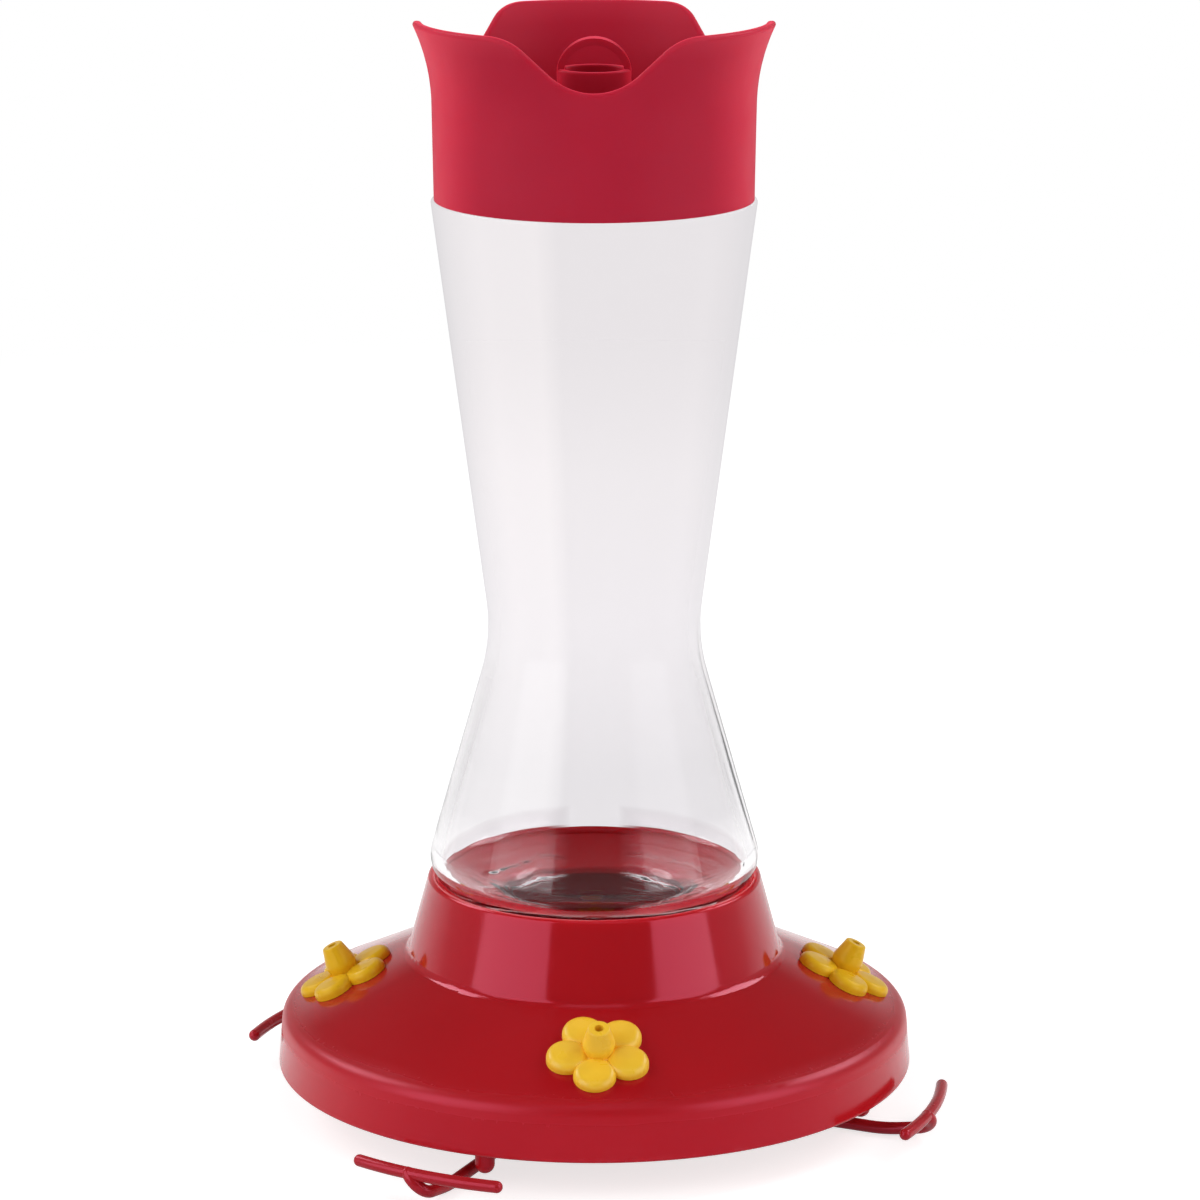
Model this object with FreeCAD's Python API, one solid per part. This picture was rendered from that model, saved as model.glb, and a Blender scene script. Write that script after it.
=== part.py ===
import FreeCAD, Part
import math
import os

# A hummingbird feeder: a pinch-waisted glass bottle hangs upside down on a
# two-part red base, under a red cap with a tulip rim. Millimetres, +Z up.
# The X-Y origin is the feeder's axis, and -Y is the front, where the first
# flower is. Heights named *_z are measured from the lower edge of the skirt.
# At the end everything is lifted, so that the perch arms stand on z = 0.

# Clearances, walls and small roundings
RUNNING_GAP = 0.3
PUSH_GAP = 0.05
PLASTIC_WALL = 1.7
GLASS_WALL = 2.2
EDGE_ROUNDING = 0.5
FINE_ROUNDING = 0.3

# Bottle
GLASS_TOP_RADIUS = 28.2
WAIST_CORNER_RADIUS = 18.1
WAIST_CORNER_Z = 77.6
WAIST_BLEND = 31.0
UPPER_CONE_HEIGHT = 77.4
COLLAR_Z = WAIST_CORNER_Z + UPPER_CONE_HEIGHT
SHOULDER_CORNER_RADIUS = 30.4
SHOULDER_CORNER_Z = 34.35
SHOULDER_BLEND = 6.0
SHOULDER_DROP = 5.35
NECK_RADIUS = 17.0
NECK_TOP_Z = SHOULDER_CORNER_Z - SHOULDER_DROP
NECK_BLEND = 2.6
MOUTH_ROUNDING = 0.8
BOTTLE_END_DEPTH = 9.2
BOTTLE_END_ROUNDING = 3.0
STEP_DROP_INSIDE = 5.0
STEP_BLEND_INSIDE = 9.0

# Cap
CAP_WALL = 1.5
CAP_STEP = 0.6
CAP_FOOT_RADIUS = GLASS_TOP_RADIUS - CAP_STEP
CAP_COLLAR_TAPER = 0.25
CAP_TOP_RADIUS = CAP_FOOT_RADIUS + CAP_COLLAR_TAPER
CAP_COLLAR_HEIGHT = 16.0
CAP_FLARE_START_Z = COLLAR_Z + CAP_COLLAR_HEIGHT
CAP_FLARE_RADIUS = 33.0
CAP_FLARE_HEIGHT = 14.8
CAP_RIM_Z = CAP_FLARE_START_Z + CAP_FLARE_HEIGHT
CAP_FLOOR = 1.6
CAP_RIM_ROUNDING = 0.6
PETAL_COUNT = 3
DIP_DEPTH = 9.2
DIP_FLANK_ANGLE = 42.5
DIP_BOTTOM_BLEND = 11.0
DIP_SHOULDER_BLEND = 9.0
TUBE_RADIUS = 6.4
TUBE_WALL = 1.3
TUBE_FOOT_BLEND = 1.0
TUBE_DEPTH_BELOW_RIM = 8.4
TUBE_TOP_Z = CAP_RIM_Z - TUBE_DEPTH_BELOW_RIM
BAIL_THICKNESS = 1.2
BAIL_DEPTH = 3.4
BAIL_RISE = 5.3
BAIL_ROOT = 3.0

# Base cover
LIP_INSET = 0.95
LIP_RADIUS = SHOULDER_CORNER_RADIUS - LIP_INSET
LIP_DROP = 0.15
LIP_Z = SHOULDER_CORNER_Z - LIP_DROP
LIP_ROUNDING = 0.8
SADDLE_STAND_OFF = 2.0
SADDLE_REACH = LIP_RADIUS - PLASTIC_WALL / 2.0
NECK_CONE_FLARE = 3.85
CREASE_RADIUS = LIP_RADIUS + NECK_CONE_FLARE
CREASE_Z = 20.1
CREASE_BLEND = 2.0
DECK_WIDTH = 22.4
SKIRT_TOP_RADIUS = CREASE_RADIUS + DECK_WIDTH
SKIRT_TOP_Z = 9.5
SKIRT_TOP_BLEND = 2.6
SKIRT_DRAFT = 0.8
SKIRT_RADIUS = SKIRT_TOP_RADIUS + SKIRT_DRAFT
SEAT_DROP = 1.2
SEAT_Z = SKIRT_TOP_Z - SEAT_DROP
SPIGOT_DEPTH = 2.5
PORT_COUNT = 4
FIRST_PORT_ANGLE = 1.0
PORT_STAND_OFF = 10.8
PORT_REACH = CREASE_RADIUS + PORT_STAND_OFF
PORT_RADIUS = 2.15

# Nectar tray
TRAY_CLEARANCE = 1.4
TRAY_RADIUS = SKIRT_RADIUS - PLASTIC_WALL - TRAY_CLEARANCE
TRAY_WALL = 1.5
TRAY_FLOOR = 1.6
TRAY_FLOOR_Z = 0.1
TRAY_CORNER_BLEND = 2.2
TRAY_INSIDE_BLEND = 1.0
SOCKET_WALL = 2.2
SOCKET_HEIGHT = 18.4
SOCKET_TOP_Z = TRAY_FLOOR_Z + SOCKET_HEIGHT
SOCKET_LEAD_IN = 0.8
LEDGE_HEIGHT = 6.4
LEDGE_OVERHANG = 0.6
MOUTH_Z = TRAY_FLOOR_Z + LEDGE_HEIGHT
NOTCH_COUNT = 4
NOTCH_WIDTH = 8.0
NOTCH_HEIGHT = 4.6
PERCH_BOSS_RADIUS = 3.0
PERCH_BOSS_HEIGHT = 4.9
LUG_INSET = 3.0
LUG_REACH = TRAY_RADIUS - LUG_INSET
LUG_RADIUS = 1.7
LUG_BOTTOM_Z = -5.1
LUG_GAP = 0.6

# Flowers
PETALS_PER_FLOWER = 5
FLOWER_RADIUS = 9.05
FLOWER_PETAL_RADIUS = 3.65
FLOWER_PETAL_HEIGHT = 1.9
FLOWER_PETAL_DOME = 0.25
FLOWER_PETAL_BLEND = 1.3
FLOWER_DISC_HEIGHT = 1.1
FLOWER_TWIST = -8.0
SPOUT_BASE_RADIUS = 2.45
SPOUT_BULGE_RADIUS = 2.85
SPOUT_TIP_RADIUS = 1.85
SPOUT_HEIGHT = 6.4
SPOUT_BULGE_SHARE = 0.45
SPOUT_BULGE_BLEND = 2.0
FEED_HOLE_RADIUS = 0.8
STEM_TAIL = 2.6
BARB_STAND_OUT = 0.15
BARB_CLEARANCE = 0.35
BARB_HEIGHT = 0.7
STEM_TIP_TAPER = 0.5

# Perches
PERCH_COUNT = 4
FIRST_PERCH_ANGLE = -25.5
PERCH_TURNS = (-3.0, 8.0, -3.0, -3.0)
ARM_RADIUS = 1.1
ARM_ROOT_INSET = 14.4
ARM_ROOT_REACH = TRAY_RADIUS - ARM_ROOT_INSET
ARM_PIN_HEIGHT = 4.0
ARM_ELBOW_Z = -5.4
ARM_ELBOW_BLEND = 3.0
ARM_BELLY_Z = -6.2
ARM_BELLY_BLEND = 30.0
ARM_RISE_ANGLE = 8.0
HOOK_RADIUS = 3.2
HOOK_SWEEP = 112.0
HOOK_TILT = 45.0
BAR_STAND_OFF = 7.4
BAR_REACH = SKIRT_RADIUS + BAR_STAND_OFF
BAR_Z = -1.9
BAR_RADIUS = 1.05
BAR_LENGTH = 29.0

ORIGIN = FreeCAD.Vector(0, 0, 0)
UP = FreeCAD.Vector(0, 0, 1)


def vector(x, y, z):
    return FreeCAD.Vector(x, y, z)


def corner_arc(before, corner, after, radius):
    """Tangent points and middle of the arc that rounds one corner."""
    back = (before - corner).normalize()
    ahead = (after - corner).normalize()
    half = back.getAngle(ahead) / 2.0
    reach = radius / math.tan(half)
    bisector = (back + ahead).normalize()
    centre = corner + bisector * (radius / math.sin(half))
    middle = centre - bisector * radius
    return corner + back * reach, middle, corner + ahead * reach


def rounded_edges(corners, closed):
    """Straight edges through the corners, each corner rounded by its own radius."""
    count = len(corners)
    legs = []
    for index, (point, radius) in enumerate(corners):
        is_end = not closed and index in (0, count - 1)
        if radius <= 0 or is_end:
            legs.append((point, None, point))
        else:
            before = corners[index - 1][0]
            after = corners[(index + 1) % count][0]
            legs.append(corner_arc(before, point, after, radius))
    edges = []
    for index, (start, middle, end) in enumerate(legs):
        if middle is not None:
            edges.append(Part.Arc(start, middle, end).toShape())
        following = legs[(index + 1) % count][0]
        last = index == count - 1 and not closed
        if not last and end.distanceToPoint(following) > 1e-6:
            edges.append(Part.LineSegment(end, following).toShape())
    return edges


def section(outline):
    """Flat face in the X-Z plane from (radius, height, rounding) corners."""
    corners = [(vector(r, 0, z), rounding) for r, z, rounding in outline]
    return Part.Face(Part.Wire(rounded_edges(corners, True)))


def turned(outline):
    """Solid of revolution about the feeder's axis."""
    return section(outline).revolve(ORIGIN, UP, 360)


def parallel(outline, wall):
    """The open outline moved sideways by the wall, to the right of its travel."""
    moved = []
    last = len(outline) - 1
    for index, (r, z, rounding) in enumerate(outline):
        here = vector(r, 0, z)
        before = here if index == 0 else vector(outline[index - 1][0], 0, outline[index - 1][1])
        after = here if index == last else vector(outline[index + 1][0], 0, outline[index + 1][1])
        arriving = (here - before) if index > 0 else (after - here)
        leaving = (after - here) if index < last else (here - before)
        arriving = arriving.normalize()
        leaving = leaving.normalize()
        side_in = vector(arriving.z, 0, -arriving.x)
        side_out = vector(leaving.z, 0, -leaving.x)
        mitre = (side_in + side_out) * (wall / (1.0 + side_in.dot(side_out)))
        bend = arriving.x * leaving.z - arriving.z * leaving.x
        change = wall if bend > 0 else -wall
        new_rounding = max(rounding + change, FINE_ROUNDING) if rounding > 0 else 0
        moved.append((r + mitre.x, z + mitre.z, new_rounding))
    return moved


def round_copies(shape, count, first_angle=0.0):
    """Copies of a shape spread evenly about the feeder's axis."""
    copies = []
    for index in range(count):
        copy = shape.copy()
        copy.rotate(ORIGIN, UP, first_angle + index * 360.0 / count)
        copies.append(copy)
    return copies


def line_height(low, high, radius):
    """Height at a radius on the straight line between two (radius, height) points."""
    share = (radius - low[0]) / (high[0] - low[0])
    return low[1] + share * (high[1] - low[1])


def make_bottle():
    """Blown glass: recessed closed end, two cones, shoulder, neck and open mouth."""
    end_radius = CAP_FOOT_RADIUS - CAP_WALL - PUSH_GAP
    end_z = COLLAR_Z + BOTTLE_END_DEPTH
    outside = [
        (0, end_z, 0),
        (end_radius, end_z, BOTTLE_END_ROUNDING),
        (end_radius, COLLAR_Z, 0),
        (GLASS_TOP_RADIUS, COLLAR_Z, EDGE_ROUNDING),
        (WAIST_CORNER_RADIUS, WAIST_CORNER_Z, WAIST_BLEND),
        (SHOULDER_CORNER_RADIUS, SHOULDER_CORNER_Z, SHOULDER_BLEND),
        (NECK_RADIUS, NECK_TOP_Z, NECK_BLEND),
        (NECK_RADIUS, MOUTH_Z, 0),
    ]
    inside = parallel(outside, GLASS_WALL)
    # Inside, blown glass only bends softly where the cap's step is pressed into the outside.
    bend_r, bend_z, _ = inside[2]
    step_r, step_z, _ = inside[3]
    waist_r, waist_z, _ = inside[4]
    share = STEP_DROP_INSIDE / (step_z - waist_z)
    inside[2] = (bend_r, bend_z, STEP_BLEND_INSIDE)
    inside[3] = (step_r + share * (waist_r - step_r), step_z - STEP_DROP_INSIDE, STEP_BLEND_INSIDE)
    inside[-1] = (NECK_RADIUS - GLASS_WALL, MOUTH_Z, MOUTH_ROUNDING)
    outside[-1] = (NECK_RADIUS, MOUTH_Z, MOUTH_ROUNDING)
    return turned(outside + inside[::-1])


def flare_radius(height, offset):
    """Outer radius of the cap's flared wall at a height, less an offset."""
    rise = height - CAP_FLARE_START_Z
    reach = CAP_FLARE_RADIUS + offset
    return CAP_TOP_RADIUS + CAP_FLARE_RADIUS - math.sqrt(reach ** 2 - rise ** 2)


def cap_wall_section():
    """Wall of the cap: straight collar, then an arc that flares to the rim."""
    top = CAP_RIM_Z
    middle = (CAP_FLARE_START_Z + top) / 2.0
    foot_out = vector(CAP_FOOT_RADIUS, 0, COLLAR_Z)
    foot_in = vector(CAP_FOOT_RADIUS - CAP_WALL, 0, COLLAR_Z)
    bend_out = vector(CAP_TOP_RADIUS, 0, CAP_FLARE_START_Z)
    bend_in = vector(CAP_TOP_RADIUS - CAP_WALL, 0, CAP_FLARE_START_Z)
    edges = [
        Part.LineSegment(foot_in, foot_out).toShape(),
        Part.LineSegment(foot_out, bend_out).toShape(),
        Part.Arc(
            bend_out,
            vector(flare_radius(middle, 0), 0, middle),
            vector(flare_radius(top, 0), 0, top),
        ).toShape(),
        Part.LineSegment(
            vector(flare_radius(top, 0), 0, top),
            vector(flare_radius(top, CAP_WALL), 0, top),
        ).toShape(),
        Part.Arc(
            vector(flare_radius(top, CAP_WALL), 0, top),
            vector(flare_radius(middle, CAP_WALL), 0, middle),
            bend_in,
        ).toShape(),
        Part.LineSegment(bend_in, foot_in).toShape(),
    ]
    return Part.Face(Part.Wire(edges))


def dip_cutter():
    """Prism that cuts one rounded dip between two petals of the cap's rim."""
    flank = math.radians(DIP_FLANK_ANGLE)
    sunk = DIP_BOTTOM_BLEND * (1.0 / math.cos(flank) - 1.0)
    vertex = vector(0, 0, CAP_RIM_Z - DIP_DEPTH - sunk)
    half_top = (DIP_DEPTH + sunk) / math.tan(flank)
    above = CAP_RIM_Z + DIP_DEPTH
    far = half_top + DIP_SHOULDER_BLEND
    corners = [
        (vector(-far, 0, above), 0),
        (vector(-far, 0, CAP_RIM_Z), 0),
        (vector(-half_top, 0, CAP_RIM_Z), DIP_SHOULDER_BLEND),
        (vertex, DIP_BOTTOM_BLEND),
        (vector(half_top, 0, CAP_RIM_Z), DIP_SHOULDER_BLEND),
        (vector(far, 0, CAP_RIM_Z), 0),
        (vector(far, 0, above), 0),
    ]
    face = Part.Face(Part.Wire(rounded_edges(corners, True)))
    return face.extrude(vector(0, -2.0 * CAP_TOP_RADIUS, 0))


def bail_box(low_z, height):
    """Block as wide as the middle tube and as deep as the strap."""
    return Part.makeBox(2 * TUBE_RADIUS, BAIL_DEPTH, height, vector(-TUBE_RADIUS, -BAIL_DEPTH / 2.0, low_z))


def make_bail():
    """Flat arched strap over the middle tube, for the hook that the feeder hangs on."""
    arch_radius = (TUBE_RADIUS ** 2 + BAIL_RISE ** 2) / (2.0 * BAIL_RISE)
    front = vector(0, -BAIL_DEPTH / 2.0, TUBE_TOP_Z + BAIL_RISE - arch_radius)
    across = vector(0, 1, 0)
    arch = Part.makeCylinder(arch_radius, BAIL_DEPTH, front, across)
    arch = arch.cut(Part.makeCylinder(arch_radius - BAIL_THICKNESS, BAIL_DEPTH, front, across))
    arch = arch.common(bail_box(TUBE_TOP_Z, BAIL_RISE))
    root_z = TUBE_TOP_Z - BAIL_ROOT
    foot = vector(0, 0, root_z)
    feet = bail_box(root_z, BAIL_ROOT)
    feet = feet.cut(Part.makeCylinder(TUBE_RADIUS - BAIL_THICKNESS, BAIL_ROOT, foot))
    envelope = Part.makeCylinder(TUBE_RADIUS, BAIL_ROOT + BAIL_RISE, foot)
    return arch.fuse(feet).common(envelope)


def make_cap():
    """Water moat with a tulip rim, a middle tube and the hanging bail, one moulding."""
    wall = cap_wall_section().revolve(ORIGIN, UP, 360)
    for cutter in round_copies(dip_cutter(), PETAL_COUNT):
        wall = wall.cut(cutter)
    wall = wall.removeSplitter()
    lowest_rim = CAP_RIM_Z - DIP_DEPTH - CAP_WALL
    rim_edges = [edge for edge in wall.Edges if edge.BoundBox.ZMax > lowest_rim]
    wall = wall.makeFillet(CAP_RIM_ROUNDING, rim_edges)
    floor_low = COLLAR_Z + BOTTLE_END_DEPTH + RUNNING_GAP
    floor_top = floor_low + CAP_FLOOR
    floor_reach = CAP_FOOT_RADIUS - CAP_WALL / 2.0
    tube_bore = TUBE_RADIUS - TUBE_WALL
    floor = turned([
        (0, floor_low, 0),
        (floor_reach, floor_low, 0),
        (floor_reach, floor_top, 0),
        (TUBE_RADIUS, floor_top, TUBE_FOOT_BLEND),
        (TUBE_RADIUS, TUBE_TOP_Z, FINE_ROUNDING),
        (tube_bore, TUBE_TOP_Z, FINE_ROUNDING),
        (tube_bore, floor_top, EDGE_ROUNDING),
        (0, floor_top, 0),
    ])
    cap = wall.fuse(floor).fuse(make_bail())
    return cap.removeSplitter()


def deck_line():
    return (CREASE_RADIUS, CREASE_Z), (SKIRT_TOP_RADIUS, SKIRT_TOP_Z)


def deck_angle():
    """Slope of the deck below the horizontal, in radians."""
    (inner_radius, inner_z), (outer_radius, outer_z) = deck_line()
    return math.atan((inner_z - outer_z) / (outer_radius - inner_radius))


def cover_outside():
    return [
        (LIP_RADIUS, LIP_Z, 0),
        (CREASE_RADIUS, CREASE_Z, CREASE_BLEND),
        (SKIRT_TOP_RADIUS, SKIRT_TOP_Z, SKIRT_TOP_BLEND),
        (SKIRT_RADIUS, 0, 0),
    ]


def make_cover():
    """Neck cone, sloped deck and skirt, with a seat and a spigot for the tray."""
    outside = cover_outside()
    inside = parallel(outside, PLASTIC_WALL)
    outside[0] = (LIP_RADIUS, LIP_Z, LIP_ROUNDING)
    inside[0] = (LIP_RADIUS - PLASTIC_WALL, LIP_Z, LIP_ROUNDING)
    outside[-1] = (SKIRT_RADIUS, 0, EDGE_ROUNDING)
    inside[-1] = (SKIRT_RADIUS - PLASTIC_WALL, 0, EDGE_ROUNDING)
    shell = turned(outside + inside[::-1])
    spigot_out = TRAY_RADIUS - TRAY_WALL - RUNNING_GAP
    spigot_in = spigot_out - PLASTIC_WALL
    seat_out = SKIRT_TOP_RADIUS - PLASTIC_WALL / 2.0
    half_wall = PLASTIC_WALL / 2.0 / math.cos(deck_angle())
    seat = turned([
        (spigot_in, SEAT_Z - SPIGOT_DEPTH, FINE_ROUNDING),
        (spigot_out, SEAT_Z - SPIGOT_DEPTH, FINE_ROUNDING),
        (spigot_out, SEAT_Z, 0),
        (seat_out, SEAT_Z, 0),
        (seat_out, line_height(*deck_line(), seat_out) - half_wall, 0),
        (spigot_in, line_height(*deck_line(), spigot_in) - half_wall, 0),
    ])
    cover = shell.fuse(seat).fuse(make_saddle())
    port = Part.makeCylinder(PORT_RADIUS, 6 * PLASTIC_WALL, vector(0, 0, -3 * PLASTIC_WALL))
    port = place_on_deck(port)
    for drill in round_copies(port, PORT_COUNT, FIRST_PORT_ANGLE):
        cover = cover.cut(drill)
    return cover.removeSplitter()


def make_saddle():
    """Sloped ring inside the lip, on which the bottle's shoulder presses the cover down."""
    neck_corner = (NECK_RADIUS, NECK_TOP_Z)
    shoulder_corner = (SHOULDER_CORNER_RADIUS, SHOULDER_CORNER_Z)
    slope = math.atan(SHOULDER_DROP / (SHOULDER_CORNER_RADIUS - NECK_RADIUS))
    inner = NECK_RADIUS + SADDLE_STAND_OFF
    below = RUNNING_GAP / math.cos(slope)
    inner_z = line_height(neck_corner, shoulder_corner, inner) - below
    outer_z = line_height(neck_corner, shoulder_corner, SADDLE_REACH) - below
    return turned([
        (inner, inner_z, EDGE_ROUNDING),
        (SADDLE_REACH, outer_z, 0),
        (SADDLE_REACH, outer_z - PLASTIC_WALL, 0),
        (inner, inner_z - PLASTIC_WALL, EDGE_ROUNDING),
    ])


def place_on_deck(shape):
    """Put a shape made about local +Z onto the deck, square to its slope, at the front."""
    shape = shape.copy()
    height = line_height(*deck_line(), PORT_REACH)
    shape.rotate(ORIGIN, vector(1, 0, 0), math.degrees(deck_angle()))
    shape.translate(vector(0, -PORT_REACH, height))
    return shape


def make_flower():
    """Five domed petals round a barrel spout, with a stem that plugs into the deck."""
    stem_radius = PORT_RADIUS - PUSH_GAP
    stem_end = -PLASTIC_WALL - STEM_TAIL
    barb_radius = PORT_RADIUS + BARB_STAND_OUT
    barb_top = -PLASTIC_WALL - BARB_CLEARANCE
    core = turned([
        (FEED_HOLE_RADIUS, stem_end, 0),
        (stem_radius - STEM_TIP_TAPER, stem_end, 0),
        (barb_radius, barb_top - BARB_HEIGHT, 0),
        (barb_radius, barb_top, 0),
        (stem_radius, barb_top, 0),
        (stem_radius, PUSH_GAP, 0),
        (FLOWER_PETAL_RADIUS, PUSH_GAP, 0),
        (FLOWER_PETAL_RADIUS, FLOWER_DISC_HEIGHT, FINE_ROUNDING),
        (SPOUT_BASE_RADIUS, FLOWER_DISC_HEIGHT, FINE_ROUNDING),
        (SPOUT_BULGE_RADIUS, SPOUT_BULGE_SHARE * SPOUT_HEIGHT, SPOUT_BULGE_BLEND),
        (SPOUT_TIP_RADIUS, SPOUT_HEIGHT, FINE_ROUNDING),
        (FEED_HOLE_RADIUS, SPOUT_HEIGHT, 0),
    ])
    sunk = -FLOWER_PETAL_HEIGHT
    petal = turned([
        (0, sunk, 0),
        (FLOWER_PETAL_RADIUS, sunk, 0),
        (FLOWER_PETAL_RADIUS, FLOWER_PETAL_HEIGHT - FLOWER_PETAL_DOME, FLOWER_PETAL_BLEND),
        (0, FLOWER_PETAL_HEIGHT, 0),
    ])
    petal.translate(vector(0, FLOWER_PETAL_RADIUS - FLOWER_RADIUS, 0))
    petals = round_copies(petal, PETALS_PER_FLOWER, FLOWER_TWIST)
    ring = petals[0].multiFuse(petals[1:])
    middle = Part.makeCylinder(stem_radius, -2 * sunk, vector(0, 0, sunk))
    ring = place_on_deck(ring.cut(middle))
    clear = PUSH_GAP / math.cos(deck_angle())
    deck_body = turned([
        (0, 0, 0),
        (SKIRT_TOP_RADIUS, 0, 0),
        (SKIRT_TOP_RADIUS, SKIRT_TOP_Z + clear, 0),
        (CREASE_RADIUS, CREASE_Z + clear, 0),
        (0, CREASE_Z + clear, 0),
    ])
    flower = place_on_deck(core).fuse(ring.cut(deck_body))
    return flower.removeSplitter()


def make_tray():
    """Pan that holds the nectar, with the bottle's socket, perch bosses and lugs."""
    floor_low = TRAY_FLOOR_Z - TRAY_FLOOR
    socket_in = NECK_RADIUS + PUSH_GAP
    socket_out = socket_in + SOCKET_WALL
    ledge_in = NECK_RADIUS - GLASS_WALL - LEDGE_OVERHANG
    pan = turned([
        (0, floor_low, 0),
        (TRAY_RADIUS, floor_low, TRAY_CORNER_BLEND),
        (TRAY_RADIUS, SEAT_Z, 0),
        (TRAY_RADIUS - TRAY_WALL, SEAT_Z, 0),
        (TRAY_RADIUS - TRAY_WALL, TRAY_FLOOR_Z, TRAY_INSIDE_BLEND),
        (socket_out, TRAY_FLOOR_Z, 0),
        (socket_out, SOCKET_TOP_Z, EDGE_ROUNDING),
        (socket_in, SOCKET_TOP_Z, SOCKET_LEAD_IN),
        (socket_in, MOUTH_Z, 0),
        (ledge_in, MOUTH_Z, 0),
        (ledge_in, TRAY_FLOOR_Z, 0),
        (0, TRAY_FLOOR_Z, 0),
    ])
    notch = Part.makeBox(
        socket_out, NOTCH_WIDTH, NOTCH_HEIGHT, vector(SOCKET_WALL, -NOTCH_WIDTH / 2.0, TRAY_FLOOR_Z)
    )
    for cutter in round_copies(notch, NOTCH_COUNT, 180.0 / NOTCH_COUNT):
        pan = pan.cut(cutter)
    boss = Part.makeCylinder(
        PERCH_BOSS_RADIUS, TRAY_FLOOR + PERCH_BOSS_HEIGHT, vector(0, -ARM_ROOT_REACH, floor_low)
    )
    lug_centre = vector(0, -LUG_REACH, LUG_BOTTOM_Z + LUG_RADIUS)
    lug = Part.makeCylinder(LUG_RADIUS, TRAY_FLOOR_Z - TRAY_FLOOR / 2.0 - lug_centre.z, lug_centre)
    lug = lug.fuse(Part.makeSphere(LUG_RADIUS, lug_centre))
    lug.rotate(ORIGIN, UP, math.degrees((ARM_RADIUS + LUG_RADIUS + LUG_GAP) / LUG_REACH))
    pieces = round_copies(boss, PERCH_COUNT, FIRST_PERCH_ANGLE)
    pieces += round_copies(lug, PERCH_COUNT, FIRST_PERCH_ANGLE)
    tray = pan.multiFuse(pieces)
    hole = Part.makeCylinder(
        ARM_RADIUS + PUSH_GAP, ARM_PIN_HEIGHT, vector(0, -ARM_ROOT_REACH, floor_low)
    )
    for drill in round_copies(hole, PERCH_COUNT, FIRST_PERCH_ANGLE):
        tray = tray.cut(drill)
    return tray.removeSplitter()


def make_perch():
    """Round bar on a bent arm, made at the front: outward is -Y, and +X is to the right."""
    floor_low = TRAY_FLOOR_Z - TRAY_FLOOR
    rise = math.radians(ARM_RISE_ANGLE)
    tilt = math.radians(HOOK_TILT)
    sweep = math.radians(HOOK_SWEEP)
    along = vector(0, -math.cos(rise), math.sin(rise))
    square = vector(0, math.sin(rise), math.cos(rise))
    inward = square * math.cos(tilt) + vector(-1, 0, 0) * math.sin(tilt)

    def on_hook(angle):
        return along * (HOOK_RADIUS * math.sin(angle)) + inward * (HOOK_RADIUS * (1 - math.cos(angle)))

    step = on_hook(sweep)
    joint = vector(step.x, -math.sqrt(BAR_REACH ** 2 - step.x ** 2), BAR_Z)
    hook_start = joint - step
    belly = hook_start - along * ((hook_start.z - ARM_BELLY_Z) / along.z)
    edges = rounded_edges([
        (vector(0, -ARM_ROOT_REACH, floor_low + ARM_PIN_HEIGHT), 0),
        (vector(0, -ARM_ROOT_REACH, ARM_ELBOW_Z), ARM_ELBOW_BLEND),
        (belly, ARM_BELLY_BLEND),
        (hook_start, 0),
    ], False)
    edges.append(Part.Arc(hook_start, hook_start + on_hook(sweep / 2.0), joint).toShape())
    path = Part.Wire(edges)
    ring = Part.Wire(Part.makeCircle(ARM_RADIUS, vector(0, -ARM_ROOT_REACH, floor_low + ARM_PIN_HEIGHT), UP))
    arm = path.makePipeShell([ring], True, False)
    half_angle = math.degrees((BAR_LENGTH / 2.0 - BAR_RADIUS) / BAR_REACH)
    disc = Part.Face(Part.Wire(Part.makeCircle(BAR_RADIUS, vector(0, -BAR_REACH, BAR_Z), vector(1, 0, 0))))
    disc.rotate(ORIGIN, UP, -half_angle)
    bar = disc.revolve(ORIGIN, UP, 2 * half_angle)
    parts = [bar, Part.makeSphere(ARM_RADIUS, joint)]
    for side in (-half_angle, half_angle):
        tip = Part.makeSphere(BAR_RADIUS, vector(0, -BAR_REACH, BAR_Z))
        tip.rotate(ORIGIN, UP, side)
        parts.append(tip)
    return arm.multiFuse(parts).removeSplitter()


def main():
    os.makedirs("parts", exist_ok=True)
    shapes = {
        "cap": make_cap(),
        "glass_bottle": make_bottle(),
        "base_cover": make_cover(),
        "nectar_tray": make_tray(),
    }
    places = ("front", "right", "back", "left")
    for place, flower in zip(places, round_copies(make_flower(), PORT_COUNT, FIRST_PORT_ANGLE)):
        shapes["flower_" + place] = flower
    perches = round_copies(make_perch(), PERCH_COUNT, FIRST_PERCH_ANGLE)
    for index, (place, perch) in enumerate(zip(places, perches)):
        root = vector(0, -ARM_ROOT_REACH, 0)
        turn = FreeCAD.Rotation(UP, FIRST_PERCH_ANGLE + index * 360.0 / PERCH_COUNT)
        perch.rotate(turn.multVec(root), UP, PERCH_TURNS[index])
        shapes["perch_" + place] = perch
    lift = -min(shape.optimalBoundingBox(False, False).ZMin for shape in shapes.values())
    for name, shape in shapes.items():
        shape.translate(vector(0, 0, lift))
        if len(shape.Solids) == 1:
            shape = shape.Solids[0]
        shape.exportStep("parts/" + name + ".step")
        print(name, len(shape.Solids), "solid", round(shape.Volume), "mm3", "valid", shape.isValid())
    print("lift", round(lift, 3))


main()
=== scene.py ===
# %% [markdown]
# # A hummingbird feeder in the studio
#
# This lesson dresses the solid model of a hanging nectar feeder: a glass bottle with a pinched
# waist stands upside down in a round red base with yellow flowers, under a red cap with a tulip
# rim. The forms already come from the solid model, so the work here is finish and light. We load
# the solids first, and can read the size of a piece's box where a finish needs a height.

import math

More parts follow.
